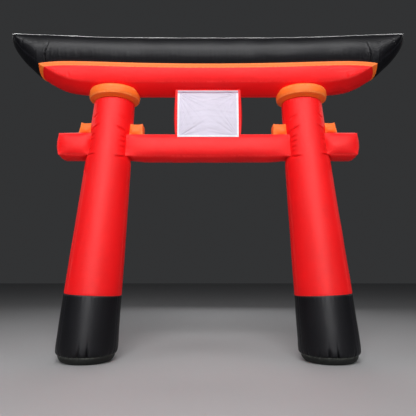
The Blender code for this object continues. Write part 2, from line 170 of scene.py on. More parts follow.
def sewn_skin(name, rings, cloth, along, around, seam_gap, seam_run):
    """rings is rows x columns x 3; along and around are the cloth map's metres for rows and columns + 1."""
    rows, columns, _ = rings.shape
    points = np.vstack([rings.reshape(-1, 3), rings[0].mean(0), rings[-1].mean(0)])
    quads, tris, row, column = ring_faces(rows, columns)
    here, beyond = around[column], around[column + 1]
    map_u = np.stack([here, beyond, beyond, here], -1).reshape(-1, 4)
    map_v = np.stack([along[row], along[row], along[row + 1], along[row + 1]], -1).reshape(-1, 4)
    corners = [points[quads[:, k]] for k in range(4)]
    outward = np.cross(corners[2] - corners[0], corners[3] - corners[1])
    if (outward * (corners[0] - points.mean(0))).sum() < 0.0:
        quads, tris, map_u, map_v = (table[:, ::-1] for table in (quads, tris, map_u, map_v))
    cloth_map = np.vstack([np.stack([map_u, map_v], -1).reshape(-1, 2), points[tris.reshape(-1)][:, :2]])
    notes = {
        label: np.append(np.broadcast_to(values, (rows, columns)).ravel(), [1.0, 1.0])
        for label, values in (("seam_gap", seam_gap), ("seam_run", seam_run))
    }
    return cloth_object(name, points, quads.tolist() + tris.tolist(), cloth_map, notes, cloth)


def fit_in_frame(skin, node):
    """The skin stands in for the plain node, which is hidden, and moves with the gate."""
    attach(skin, "root")
    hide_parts(node)
    faces = sum(len(polygon.vertices) - 2 for polygon in skin.data.polygons)
    print(f"{skin.name}: {faces} triangles, {[round(size, 3) for size in skin.dimensions]} m")


# %% [markdown]
# ## Coated nylon
#
# The cloth is nylon with a shiny coating. Each colour gets the same build: a fine plain weave as bump, a
# slow drift of colour from sun and handling, paler worn cloth and a row of stitches beside the seams, and
# gloss that changes a little from place to place. On the sole, that paler cloth by the seam is partly wear
# and partly a painted reflection of the floor. Image textures could do this, but nodes keep it sharp at any
# distance. What is the same all over, such as how weakly the coating reflects, is set straight on the shader.


# %% Small node helpers
def add_node(tree, kind, **settings):
    """A new node; in_2=5 sets its input number 2, and any other name sets a property."""
    node = tree.nodes.new(kind)
    for key, value in settings.items():
        if key.startswith("in_"):
            node.inputs[int(key[3:])].default_value = value
        else:
            setattr(node, key, value)
    return node


def feed(tree, socket, value):
    """A plain number or colour is typed into the socket, anything else is linked to it."""
    if isinstance(value, (int, float, tuple)):
        socket.default_value = value
    else:
        tree.links.new(value, socket)


def math_node(tree, operation, first, second=0.0):
    node = add_node(tree, "ShaderNodeMath", operation=operation)
    feed(tree, node.inputs[0], first)
    feed(tree, node.inputs[1], second)
    return node.outputs[0]


def remap(tree, value, from_low, from_high, to_low, to_high):
    node = add_node(tree, "ShaderNodeMapRange", in_1=from_low, in_2=from_high, in_3=to_low, in_4=to_high)
    tree.links.new(value, node.inputs[0])
    return node.outputs[0]


def mix_colour(tree, share, first, second):
    node = add_node(tree, "ShaderNodeMix", data_type="RGBA")
    for slot, value in ((0, share), (6, first), (7, second)):
        feed(tree, node.inputs[slot], value)
    return node.outputs[2]


def noise(tree, place, scale, detail):
    node = add_node(tree, "ShaderNodeTexNoise", in_2=scale, in_3=detail)
    tree.links.new(place, node.inputs[0])
    return node.outputs[0]


def point_note(tree, label):
    """The number that the skin carries at each point under this label."""
    return add_node(tree, "ShaderNodeAttribute", attribute_name=label).outputs["Fac"]


def bump(tree, height, strength, distance):
    node = add_node(tree, "ShaderNodeBump")
    node.inputs["Strength"].default_value = strength
    node.inputs["Distance"].default_value = distance
    tree.links.new(height, node.inputs["Height"])
    return node


# %% Weave and stitches
THREAD = 0.0016  # one over-and-under of the weave
STITCH = 0.009
STITCH_ROW = 0.011  # from the seam to the row of stitches


def weave(tree, cloth_map):
    """Two sets of threads that cross at right angles."""
    bands = []
    for direction in ("X", "Y"):
        band = add_node(tree, "ShaderNodeTexWave", wave_type="BANDS", bands_direction=direction)
        band.inputs["Scale"].default_value = 2.0 * math.pi / (20.0 * THREAD)
        tree.links.new(cloth_map, band.inputs[0])
        bands.append(band.outputs["Fac"])
    return math_node(tree, "MULTIPLY", *bands)


def stitches(tree, gap, run):
    """0.8 on each stitch of the row beside a seam, 0 elsewhere."""
    off_row = math_node(tree, "ABSOLUTE", math_node(tree, "SUBTRACT", gap, STITCH_ROW))
    in_row = remap(tree, off_row, 0.0008, 0.0018, 1.0, 0.0)
    beat = math_node(tree, "SINE", math_node(tree, "MULTIPLY", run, 2.0 * math.pi / STITCH))
    stitch = math_node(tree, "MULTIPLY", in_row, remap(tree, beat, -0.3, 0.1, 0.0, 1.0))
    return math_node(tree, "MULTIPLY", stitch, 0.8)


print("in 100 mm:", round(0.1 / THREAD), "threads and", round(0.1 / STITCH), "stitches")


# %% One recipe for every cloth
SPECULAR = 0.2  # the coating reflects weakly, so the shaded sides stay deep


def coated_cloth(name, colour, rubbed_and_reflected, thread, roughness, shaded=None):
    """shaded is a colour of painted shade for the folded-over part of a sheet."""
    material = bpy.data.materials.new(name)
    material.use_nodes = True
    tree = material.node_tree
    shader = tree.nodes["Principled BSDF"]
    places = add_node(tree, "ShaderNodeTexCoord").outputs
    slow, grain = noise(tree, places["Object"], 1.7, 3.0), noise(tree, places["Object"], 28.0, 4.0)
    gap, run = point_note(tree, "seam_gap"), point_note(tree, "seam_run")

    darker = tuple(0.9 * channel for channel in colour[:3]) + (1.0,)
    body = mix_colour(tree, remap(tree, slow, 0.35, 0.65, 0.0, 1.0), darker, colour)
    # Paler cloth beside the seams: wear on every cloth, and on the sole partly a painted reflection of the
    # floor.
    beside = remap(tree, gap, 0.0, 0.022, 1.0, 0.0)
    rub_and_reflection = math_node(tree, "MULTIPLY", beside, remap(tree, grain, 0.35, 0.7, 0.1, 0.75))
    stitch = stitches(tree, gap, run)
    body = mix_colour(tree, stitch, mix_colour(tree, rub_and_reflection, body, rubbed_and_reflected), thread)
    # painted shade on the board's folded-over top, read from the point note
    if shaded:
        body = mix_colour(tree, point_note(tree, "painted_fold_shade"), body, shaded)
    tree.links.new(body, shader.inputs["Base Color"])

    gloss = remap(tree, grain, 0.3, 0.7, roughness - 0.04, roughness + 0.05)
    gloss = math_node(tree, "ADD", gloss, math_node(tree, "MULTIPLY", rub_and_reflection, 0.12))
    tree.links.new(gloss, shader.inputs["Roughness"])

    woven = bump(tree, weave(tree, places["UV"]), 0.5, 0.00012)
    rumpled = bump(tree, math_node(tree, "ADD", grain, stitch), 0.35, 0.002)
    tree.links.new(woven.outputs[0], rumpled.inputs["Normal"])
    tree.links.new(rumpled.outputs[0], shader.inputs["Normal"])
    shader.inputs["Specular IOR Level"].default_value = SPECULAR
    print(f"{name}: roughness about {roughness}, {len(tree.nodes)} nodes")
    return material


# %% The gate's six cloths
# painted shade on the board's folded-over top where the beam overhangs it, with a darker painted shadow line
# at its lower edge
LILAC_SHADE = (0.27, 0.17, 0.25, 1)  # the folded top of the board
RECIPES = (  # name, colour, worn colour with painted reflection, thread, roughness, painted shade of the folded top
    ("red_cloth", (0.92, 0.004, 0.006, 1), (1.0, 0.05, 0.045, 1), (0.75, 0.01, 0.01, 1), 0.55, None),
    ("black_cloth", (0.004, 0.004, 0.0055, 1), (0.02, 0.02, 0.025, 1), (0.03, 0.03, 0.04, 1), 0.44, None),
    ("orange_cloth", (0.97, 0.18, 0.020, 1), (1.0, 0.32, 0.10, 1), (0.85, 0.14, 0.015, 1), 0.55, None),
    # the sole's pale colour beside its seam is partly wear and partly a painted reflection of the floor
    ("sole_cloth", (0.010, 0.011, 0.010, 1), (0.15, 0.16, 0.14, 1), (0.02, 0.02, 0.02, 1), 0.60, None),
    # the bluish-lilac tint of the white board and its tapes is painted light: the cool cast of the light on
    # white cloth
    ("white_cloth", (0.61, 0.57, 0.675, 1), (0.78, 0.75, 0.84, 1), (0.58, 0.54, 0.66, 1), 0.55, LILAC_SHADE),
    ("white_tape", (0.72, 0.73, 0.80, 1), (0.90, 0.90, 0.94, 1), (0.70, 0.68, 0.78, 1), 0.50, LILAC_SHADE),
)
CLOTH = {name: coated_cloth(name, *finish) for name, *finish in RECIPES}

# %% [markdown]
# ## Legs
#
# Each leg is a round tapered tube of three panels, leaning inwards. The crossbar is sewn to it, so the tube
# is drawn in around that joint and short creases fan out from it. A cone primitive has none of this. Here
# a ring of points is set at each height and every point's radius is then nudged: drawn in at seams, rippled
# beside them, creased at the joint, and let out again between.


# %% The leg's measures
LEG_TOP_Z = 3.455
BAND_Z, BAND_TILT = 0.841, 0.047  # the seam between red and black, and how steeply it rises outwards
LEG_SHOULDER = 0.030
BASE_RADIUS, TOP_RADIUS = 0.401, 0.272
MEAN_RADIUS = 0.34
BAND_RADIUS, NECK_RADIUS = 0.38, 0.27  # for the gathers at the leg's lower and upper seam
BAR_Z, STUB_Z = 2.816, 2.835
BAR_HALF = (0.150, 0.146)  # depth, height
JOINT_PINCH = 0.013  # the tube is drawn in this much around the crossbar
PANEL_SEAMS = (math.radians(-47.0), math.radians(73.0), math.radians(193.0))  # from the front, inwards
ROW = 0.0125  # between two rings of points


def leg_axis(z):
    """Distance of the leg's axis from the middle of the gate."""
    eased = np.maximum(0.0, z - 2.0)
    return 1.582 - 0.0863 * np.hypot(z, 0.2) + 0.0067 * eased**2


def leg_radius(z):
    return BASE_RADIUS + (TOP_RADIUS - BASE_RADIUS) * z / LEG_TOP_Z


def seam_tilt(z):
    return BAND_TILT * np.where(z < BAND_Z, z / BAND_Z, (LEG_TOP_Z - z) / (LEG_TOP_Z - BAND_Z))


print("leg axis at the ground and at the top:", [round(float(leg_axis(z)), 3) for z in (0.0, LEG_TOP_Z)])


# %% Rings round a leg
def around_leg(columns, side):
    """Each column's turn from the x axis, and its angle from the leg's front, growing towards the walkway."""
    turn = np.linspace(0.0, 2.0 * np.pi, columns, endpoint=False)[None, :]
    return turn, np.arctan2(-side * np.cos(turn), -np.sin(turn))


def leg_ring(side, turn, z, radius, tilt=0.0):
    """Points round the leg's axis at height z; a tilt raises them outwards."""
    out = radius * np.cos(turn)
    return np.stack([side * leg_axis(z) + out, radius * np.sin(turn), z + tilt * side * out], -1)


def round_map(radius, columns):
    """The cloth map's metres round a tube."""
    return np.linspace(0.0, 2.0 * np.pi * radius, columns + 1)


print("round a leg at the band:", round(float(round_map(leg_radius(BAND_Z), 4)[-1]), 3), "m of cloth")


# %% How the leg's cloth is drawn in
def wrap(angle):
    return (angle + np.pi) % (2.0 * np.pi) - np.pi


def panel_seam_gap(angle, radius):
    """Distance along the cloth to the nearest upright panel seam."""
    return np.min([np.abs(wrap(angle - seam)) for seam in PANEL_SEAMS], axis=0) * radius


def pucker(gap, run, seed, depth=0.0022, beat=0.031):
    """A seam's groove with small ripples across it that die away within a hand's width."""
    waves = ripple(run, beat, 2.2 * wander(run, 0.11, seed)) * np.exp(-gap / 0.030)
    return -0.0035 * bell(gap, 0.006) + depth * waves * (1.0 + 0.5 * wander(run, 0.2, seed + 1))


JOINT_CREASES = (  # height at the joint, rise, length, depth
    (0.185, 0.060, 0.17, 0.01710),
    (0.090, 0.022, 0.11, 0.01140),
    (0.028, 0.016, 0.12, 0.01235),
    (-0.045, 0.012, 0.10, 0.01045),
    (-0.100, 0.010, 0.09, 0.00855),
    (-0.168, -0.012, 0.17, 0.01900),
    (0.350, 0.050, 0.13, 0.01140),
)


def joint_pull(turn, z, side, radius):
    """The tube is pinched round both crossbar joints and creased beside them."""
    pull = np.zeros(np.broadcast(turn, z).shape)
    reach = radius * math.asin(BAR_HALF[0] / 0.29)
    start = reach[0, 0]
    for facing, centre in ((-1, BAR_Z), (1, STUB_Z)):
        round_leg = np.arctan2(np.sin(turn), facing * side * np.cos(turn)) * radius
        up = z - centre
        past_side = np.maximum(np.abs(round_leg) - reach, 0.0)
        past_end = np.maximum(np.abs(up) - BAR_HALF[1], 0.0)
        pull -= JOINT_PINCH * bell(np.hypot(past_side, past_end), 0.045)
        for height, rise, length, depth in JOINT_CREASES:
            for front in (-1, 1):
                end = (start + length, height + rise)
                pull += crease(front * round_leg, up, (start, height), end, 0.010, depth)
    return pull


print("creases at each joint of a leg:", 2 * len(JOINT_CREASES))


# %% The leg's skin
def leg_puff(turn, angle, z, side, radius):
    """How far each point stands off the plain cone: seams, joints, hems and soft dents."""
    low_gap, top_gap = z - BAND_Z - CLEAR, LEG_TOP_Z - LEG_SHOULDER - z
    puff = pucker(panel_seam_gap(angle, radius), z + 0.0 * turn, 11 + side)
    puff = puff + joint_pull(turn, z, side, radius)
    puff = puff - 0.006 * bell(low_gap, 0.008)
    puff = puff + 0.0016 * ripple(angle * BAND_RADIUS, 0.045) * np.exp(-low_gap / 0.035)
    puff = puff + 0.0022 * ripple(angle * NECK_RADIUS, 0.04) * np.exp(-top_gap / 0.03)
    dents = crumple(np.sin(angle) * 0.4 + 3.0 * side, z, 0.33, 5)
    return puff + 0.0022 * dents * soft_step(0.0, 0.2, low_gap)


def leg_skin(side, tag):
    columns = 224
    low_z, straight_top = BAND_Z + CLEAR, LEG_TOP_Z - LEG_SHOULDER
    hem = low_z + np.array([0.0, 0.004, 0.008, 0.014])
    heights = np.append(hem, np.arange(low_z + 0.022, straight_top, ROW))
    turn, angle = around_leg(columns, side)
    z = heights[:, None]
    radius = leg_radius(z)
    puff = leg_puff(turn, angle, z, side, radius)
    tube = leg_ring(side, turn, z, radius + puff, seam_tilt(z))

    bend = np.radians(np.arange(15, 91, 15))[:, None]
    z_up = straight_top + LEG_SHOULDER * np.sin(bend)
    edge = leg_radius(z_up) - LEG_SHOULDER * (1.0 - np.cos(bend))
    gathers = puff[-1:] * np.cos(bend) + 0.0022 * ripple(angle * NECK_RADIUS, 0.04) * np.sin(bend)
    shoulder = leg_ring(side, turn, z_up, edge + gathers)
    shoulder[:, :, 2] -= CLEAR * np.sin(bend)

    along = np.append(heights, straight_top + 0.008 * np.arange(1, 7))
    gap, low_gap = panel_seam_gap(angle, radius), z - low_z
    gaps = np.minimum(gap, np.minimum(low_gap + 0.003, straight_top - z + 0.03))
    upright = np.vstack([gaps < low_gap + 0.003, np.repeat(gap[-1:] < 0.003, 6, 0)])
    gaps = np.vstack([gaps, np.repeat(gap[-1:], 6, 0)])
    runs = np.where(upright, along[:, None], angle * BAND_RADIUS)
    rings, around = np.vstack([tube, shoulder]), round_map(MEAN_RADIUS, columns)
    skin = sewn_skin("leg_skin_" + tag, rings, CLOTH["red_cloth"], along, around, gaps, runs)
    fit_in_frame(skin, "leg_" + tag)


for side, tag in ((LEFT, "left"), (RIGHT, "right")):
    leg_skin(side, tag)

# %% [markdown]
# ## Feet and soles
#
# A black foot is a wide cuff whose lower edge is gathered onto a smaller round sole, so deep folds stand in
# it just above the ground. Folds could come from a simulation of a shrinking hem. Here they are drawn as
# narrow troughs that share the cloth round the hem unevenly, two of them deeper at the front.


# %% Gathers round a hem
FOOT_SEAM_Z, FOOT_SEAM_RADIUS = 0.098, 0.360  # where the foot is sewn to the sole
FOOT_ROLL_Z = 0.200  # the foot is a plain tube above this
SOLE_FLAT_RADIUS, SOLE_ROLL = 0.270, 0.09  # the part on the ground, and the radius of its raised rim
FOLDS = 26
DEEP_FOLDS = (math.radians(-2.0), math.radians(14.5))


def hem_folds(angle, seed):
    """Depth of the folds round the hem, from 0 to about 1."""
    random = np.random.default_rng(seed)
    folds = np.zeros_like(angle)
    for count in range(FOLDS):
        at = 2.0 * np.pi * (count + random.uniform(-0.32, 0.32)) / FOLDS
        folds += random.uniform(0.25, 0.8) * bell(wrap(angle - at), random.uniform(0.028, 0.05))
    for at in DEEP_FOLDS:
        folds += 0.85 * bell(wrap(angle - at), 0.030)
    return folds


print("deepest fold in a hem:", round(float(hem_folds(np.linspace(-3, 3, 600), 3).max()), 2))


# %% Foot and sole skins
def foot_puff(turn, angle, z, side, radius, hem_gap):
    """Deep folds over the hem, a swelling between them, and gathers under the red leg."""
    top_gap = BAND_Z - CLEAR - z
    folds = hem_folds(angle, 31 + side)
    puff = pucker(panel_seam_gap(angle, radius), z + 0.0 * turn, 21 + side, depth=0.0030, beat=0.027)
    troughs = np.exp(-((hem_gap / (0.045 + 0.055 * folds)) ** 2)) * soft_step(-0.01, 0.012, hem_gap)
    puff = puff - 0.020 * folds * troughs
    puff = puff + 0.005 * bell(hem_gap - 0.05, 0.03) * (1.0 - folds)
    puff = puff - 0.006 * bell(top_gap, 0.008)
    puff = puff + 0.0018 * ripple(angle * BAND_RADIUS, 0.05) * np.exp(-top_gap / 0.04)
    return puff + 0.0025 * crumple(np.sin(angle) * 0.4 + 3.0 * side, z, 0.28, 8)


def foot_skin(side, tag):
    columns = 256
    turn, angle = around_leg(columns, side)
    bends = np.radians(np.arange(0, 91, 6.0))
    roll_z = FOOT_SEAM_Z + (FOOT_ROLL_Z - FOOT_SEAM_Z) * (1.0 - np.cos(bends))
    roll_radius = FOOT_SEAM_RADIUS + (leg_radius(FOOT_ROLL_Z) - FOOT_SEAM_RADIUS) * np.sin(bends)
    top = BAND_Z - CLEAR
    hem = top - np.array([0.014, 0.008, 0.004, 0.0])
    wall = np.append(np.arange(FOOT_ROLL_Z + 0.012, top - 0.016, ROW), hem)
    z = np.append(roll_z, wall)[:, None]
    radius = np.append(roll_radius, leg_radius(wall))[:, None]
    level = np.append(np.sin(bends), np.ones(len(wall)))[:, None]
    hem_gap = np.append(np.arange(len(bends)) * 0.0075, wall - FOOT_ROLL_Z + 0.115)[:, None]
    puff = foot_puff(turn, angle, z, side, radius, hem_gap)
    rings = leg_ring(side, turn, z, radius + puff, seam_tilt(z) * level)
    along = distance_along(np.hstack([z, radius]))
    gap = panel_seam_gap(angle, radius)
    gaps = np.minimum(gap, np.minimum(hem_gap, top - z + 0.003))
    runs = np.where(gap < np.minimum(hem_gap, top - z), along[:, None], angle * 0.39)
    around = round_map(BAND_RADIUS, columns)
    skin = sewn_skin("foot_skin_" + tag, rings, CLOTH["black_cloth"], along, around, gaps, runs)
    fit_in_frame(skin, "foot_" + tag)


def sole_skin(side, tag):
    columns = 200
    turn, angle = around_leg(columns, side)
    bends = np.radians(np.arange(0, 91, 9.0))[:, None]
    z = (FOOT_SEAM_Z - CLEAR) * (1.0 - np.cos(bends))
    radius = SOLE_FLAT_RADIUS + (FOOT_SEAM_RADIUS - SOLE_FLAT_RADIUS) * np.sin(bends)
    hem_gap = (np.pi / 2 - bends) * SOLE_ROLL
    puff = -0.010 * hem_folds(angle, 31 + side) * np.exp(-hem_gap / 0.035) * np.sin(bends)
    rings = leg_ring(side, turn, z, radius + puff)
    along, around = SOLE_ROLL * bends[:, 0], round_map(MEAN_RADIUS, columns)
    skin = sewn_skin("sole_skin_" + tag, rings, CLOTH["sole_cloth"], along, around, hem_gap, angle * 0.35)
    fit_in_frame(skin, "sole_" + tag)


for side, tag in ((LEFT, "left"), (RIGHT, "right")):
    foot_skin(side, tag)
    sole_skin(side, tag)

# %% [markdown]
# ## The boat shape of the roof beam
#
# The beam is a hull: front, back, top and bottom panels that meet in seams and run up into two raised bows.
# Three colours cross it: black roof, orange belt, red hull. One hull cut by planes would be simplest, but
# each colour is its own chamber here, so the hull's seam line is drawn once as a smooth curve, and each
# chamber takes its own stations from it.


# %% The hull's lines
TIP_X = 2.680
BELT_LOW_Z, BELT_HIGH_Z = 3.844, 3.903
BELT_LOW_X, BELT_HIGH_X = 2.205, 2.285  # the belt's edges run out into the bottom seam here


def past(x, start):
    """0 up to start, growing to 1 at a tip."""
    return np.clip((np.abs(x) - start) / (TIP_X - start), 0.0, None)


def hull_half_depth(x):
    return 0.290 - 0.060 * past(x, 1.9) ** 2


def roof_edge_z(x):
    return 4.270 + 0.092 * past(x, 0.0) ** 3


def belt_z(level, x):
    """Each edge of the belt rises towards the bows and droops again at the belt's corner."""
    return level + 0.0132 * x * x * (1.0 - (x / 2.36) ** 6)


SEAM_LINE = (  # distance out, height of the bottom seam
    (0.000, 3.670),
    (0.500, 3.670),
    (1.000, 3.670),
    (1.400, 3.671),
    (1.600, 3.676),
    (1.750, 3.685),
    (1.880, 3.706),
    (1.970, 3.731),
    (2.050, 3.768),
    (2.130, 3.816),
    (BELT_LOW_X, belt_z(BELT_LOW_Z, BELT_LOW_X)),
    (BELT_HIGH_X, belt_z(BELT_HIGH_Z, BELT_HIGH_X)),
    (2.400, 4.016),
    (2.500, 4.104),
    (2.583, 4.194),
    (2.643, 4.276),
    (TIP_X, 4.350),
)


def smooth_line(points, step):
    """A smooth curve through the points, about one point every step; the points themselves are kept."""
    points = np.array(points, float)
    chord = distance_along(points)
    slope = np.gradient(points, chord, axis=0)
    fine = []
    for i in range(len(points) - 1):
        span = chord[i + 1] - chord[i]
        steps = max(1, int(round(span / step)))
        for t in np.arange(steps) / steps:
            fine.append(
                (1 + 2 * t) * (1 - t) ** 2 * points[i] + t * (1 - t) ** 2 * span * slope[i]
                + t * t * (3 - 2 * t) * points[i + 1] + t * t * (t - 1) * span * slope[i + 1])
    return np.vstack([fine, points[-1]])


HULL = smooth_line(SEAM_LINE, 0.0155)
HULL_RUN = distance_along(HULL)
HULL_TANGENT = np.gradient(HULL, HULL_RUN, axis=0)
HULL_TANGENT /= np.hypot(*HULL_TANGENT.T)[:, None]
LOW_STATION = int(np.argmin(np.abs(HULL[:, 0] - BELT_LOW_X)))
HIGH_STATION = int(np.argmin(np.abs(HULL[:, 0] - BELT_HIGH_X)))
print("hull stations from the middle to a tip:", len(HULL), "over", round(float(HULL_RUN[-1]), 3), "m")

# %% [markdown]
# ## Pleats and creases of the beam
#
# Thread shortens the bottom seam towards the bows, so small pleats stand along it every 3 cm. The black
# front hangs in fine upright wrinkles above the belt, with one long crease where the belt turns the corner
# and a short one near each tip. All of these are troughs and ripples in the panel's own measures.


# %% The beam's cloth relief
ROOF_CREASES = (  # start, end, width, depth, bow
    ((2.190, 3.905), (2.118, 4.215), 0.0085, 0.0240, -0.014),
    ((2.130, 3.920), (2.085, 4.100), 0.0080, 0.0048, -0.010),
    ((2.080, 3.920), (2.045, 4.060), 0.0080, 0.0036, -0.008),
    ((2.545, 4.120), (2.470, 4.262), 0.0080, 0.0140, 0.0),
)
HULL_SEAMS = (-1.36, -0.45, 0.45, 1.36)  # upright seams of the red front


def bow_pleats(out, run, above):
    """Small pleats along the bottom seam, from each tip to a little inside the belt's corner."""
    beat = ripple(run, 0.042, 1.6 * wander(run, 0.09, 41))
    return 0.0115 * beat * np.exp(-above / 0.034) * soft_step(1.78, 1.95, out)


def roof_relief(x, run, z, share):
    """Front of the black roof: share is 0 at its lower edge and 1 at the roof's edge."""
    out = np.abs(x)
    height = share * (roof_edge_z(x) - belt_z(BELT_HIGH_Z, np.minimum(out, BELT_HIGH_X)))
    lower = 1.0 - soft_step(0.1, 0.62, share)
    hang = wander(x + 0.02 * share, 0.028, 51) + 0.6 * wander(x, 0.014, 52)
    hang = hang + 0.5 * wander(x - 0.03 * share, 0.075, 53)
    relief = 0.0026 * hang * lower * (1.0 - soft_step(2.18, 2.26, out))
    relief = relief + 0.0026 * ripple(x, 0.037, 2 * wander(x, 0.1, 54)) * np.exp(-height / 0.03)
    relief = relief + 0.0018 * ripple(x, 0.052, 3 * wander(x, 0.2, 55)) * np.exp(-(1 - share) * 8.0)
    relief = relief + 0.004 * crumple(x, z, 0.24, 56) * (1.0 - 0.6 * lower)
    for start, end, width, depth, bow in ROOF_CREASES:
        relief = relief + crease(out, z, start, end, width, depth, bow)
    return relief + bow_pleats(out, run, height) * soft_step(2.2, 2.3, out)


def hull_relief(x, run, z, share):
    """Front of the red hull: share is 0 at the bottom seam and 1 at the belt."""
    out = np.abs(x)
    above = share * (belt_z(BELT_LOW_Z, np.minimum(out, BELT_LOW_X)) - SEAM_LINE[0][1])
    relief = 0.0022 * crumple(x, z, 0.3, 61) + bow_pleats(out, run, above)
    relief = relief + crease(out, z, (1.846, 3.685), (1.884, 3.815), 0.010, 0.010)
    relief = relief + 0.0014 * ripple(x, 0.045, 2 * wander(x, 0.1, 62)) * np.exp(-(1 - share) * 7.0)
    for at in HULL_SEAMS:
        relief = relief - 0.0022 * bell(x - at, 0.007)
    return relief


deepest = roof_relief(np.array(2.22), 2.3, np.array(3.95), np.array(0.1))
print("relief beside the corner's crease:", round(float(deepest), 4), "m")

# %% [markdown]
# ## Chambers of the beam
#
# Each colour is closed by its own bottom, front, top and back panel. Red leans back towards its bottom
# seam and sags between the seams, like a hammock; the belt is nearly flat; the roof swells most. The belt
# and the roof also take over the rounded bottom of the hull beyond the red, where the bows begin. Boolean
# cuts would leave ragged triangles there, so every ring is put together panel by panel.


# %% How the bottom of the hull hangs
BELT_BOW = 0.030  # each edge of the belt moves this much along the bottom panel, so only a strip is left


def belt_end_bow(x):
    """The red hull reaches outwards under the belt's corner and the black roof reaches inwards."""
    return np.interp(x, (1.85, BELT_LOW_X, BELT_HIGH_X, 2.45), (0.0, BELT_BOW, -BELT_BOW, 0.0))


def hull_drop(x):
    """How far the bottom panel sags below the seams: less over the outside of the legs and to the tips."""
    return 0.109 - 0.030 * bell(np.abs(x) - 1.85, 0.33) - 0.035 * past(x, 2.0) ** 1.5


def hull_lean(x):
    """How far the red front stands back at the bottom seam."""
    return 0.052 * (1.0 - soft_step(1.6, 2.1, np.abs(x)))


sags = [round(float(hull_drop(x)), 3) for x in (0.0, 1.85, TIP_X)]
print("sag in the middle, outside a leg and at a tip:", sags, "m")


# %% The panels of one ring
ACROSS = np.linspace(0.0, 1.0, 15)  # from the middle of a bottom or top panel to its seam
STEPS = {"red": 18, "belt": 7, "roof": 34}  # up the front panel
SWELL = {"red": 0.018, "belt": 0.004, "roof": 0.075}


def level_panel(x, depth, z):
    return np.stack([np.full(len(ACROSS), x), -depth * ACROSS, z + 0.0 * ACROSS], -1)


def rounded_panel(index, depth, lean, shift, lift):
    """The hull's bottom from its middle to the front seam."""
    x, seam_z = HULL[index]
    along_x, along_z = HULL_TANGENT[index]
    seam_side = (1.0 - ACROSS) * depth
    pleats = 0.6 * bow_pleats(x, HULL_RUN[index], seam_side) * soft_step(0.0, 0.02, seam_side)
    drop = hull_drop(x) * (1.0 - ACROSS**2) + pleats
    slide = belt_end_bow(x) * (1.0 - ACROSS**2)
    out = x + shift + along_z * drop + along_x * slide
    return np.stack([out, -(depth - lean) * ACROSS, seam_z + lift - along_x * drop + along_z * slide], -1)


def front_panel(index, side, chamber, depth, lean, low_z, high_z, shift):
    """From the lower to the upper seam, with each point's distance to the nearer one."""
    x, place, run = HULL[index][0], side * HULL[index][0], HULL_RUN[index]
    share = np.linspace(0.0, 1.0, STEPS[chamber] + 1)
    share = 0.5 - 0.5 * np.cos(np.pi * share) if chamber == "roof" else share
    tall = high_z - low_z
    z = low_z + tall * share
    edge = np.minimum(share, 1.0 - share) * tall
    fade = soft_step(0.0, 0.010, edge)
    bulge = SWELL[chamber] * min(1.0, tall / 0.15) * (1.0 - (2 * share - 1) ** 2) ** 0.7
    if chamber == "roof":
        bulge = bulge + roof_relief(place, run, z, share) * fade
    if chamber == "red":
        bulge = bulge + hull_relief(place, run, z, share) * fade
    if chamber == "belt":
        bulge = bulge - 0.0016 * (bell(share - 0.30, 0.05) + bell(share - 0.70, 0.05))
        bulge = bulge + 0.0012 * wander(place, 0.05, 71) * fade
    return np.stack([np.full(len(share), x + shift), lean * (1.0 - share) - depth - bulge, z], -1), edge


def roof_crown(place, depth, tall):
    """The roof's top is gently domed and gathered along its edge."""
    rim = (1.0 - ACROSS) * depth
    crown = 0.085 * min(1.0, tall / 0.35) * (1.0 - ACROSS**2)
    gathers = 0.003 * ripple(place, 0.05, 2 * wander(place, 0.1, 81)) * np.exp(-rim / 0.05)
    crown = crown + gathers * soft_step(0.0, 0.02, rim)
    return crown + 0.005 * crumple(place, ACROSS * depth, 0.3, 82) * soft_step(0.0, 0.05, rim)


print("crown of the roof in the middle:", round(float(roof_crown(0.0, 0.29, 0.35)[0]), 3), "m")


# %% One closed ring of a chamber
def station_ring(index, side, chamber, rounded, shift, lift):
    """Bottom, front, top and back at one station of the hull, with every point's distance to a seam."""
    x, seam_z = HULL[index]
    depth = hull_half_depth(x)
    lean = float(hull_lean(x)) if chamber == "red" else 0.0
    belt_low, belt_high = belt_z(BELT_LOW_Z, x), belt_z(BELT_HIGH_Z, x)
    low_z, high_z = {
        "red": (seam_z, belt_low - CLEAR / 2),
        "belt": (belt_low, belt_high - CLEAR / 2),
        "roof": (belt_high, roof_edge_z(x)),
    }[chamber]
    if rounded:
        bottom = rounded_panel(index, depth, lean, shift, lift)
    else:
        bottom = level_panel(x + shift, depth, low_z + CLEAR / 2)
    front, edge = front_panel(index, side, chamber, depth, lean, bottom[-1, 2], high_z, shift)
    crown = roof_crown(side * x, depth, high_z - bottom[-1, 2]) if chamber == "roof" else 0.0
    top = level_panel(x + shift, depth, high_z + crown)
    half = np.vstack([bottom, front[1:-1], top[::-1]])
    half[:, 0] *= side
    back = half[-2:0:-1] * [1.0, -1.0, 1.0]
    seam_side = (1.0 - ACROSS) * depth
    gap = np.concatenate([seam_side, edge[1:-1], seam_side[::-1]])
    return np.vstack([half, back]), np.append(gap, gap[-2:0:-1])


middle_ring, _ = station_ring(0, RIGHT, "red", True, 0.0, 0.0)
print("red hull's middle ring:", len(middle_ring), "points,", round(girth(middle_ring)[-1], 3), "m round")


# %% Chambers from tip to tip
GAP_STEP = 1.5 * CLEAR
REACH = {  # the chamber's rounded bottom starts and ends at these stations
    "red": (0, LOW_STATION),
    "belt": (LOW_STATION, HIGH_STATION),
    "roof": (HIGH_STATION, len(HULL) - 1),
}


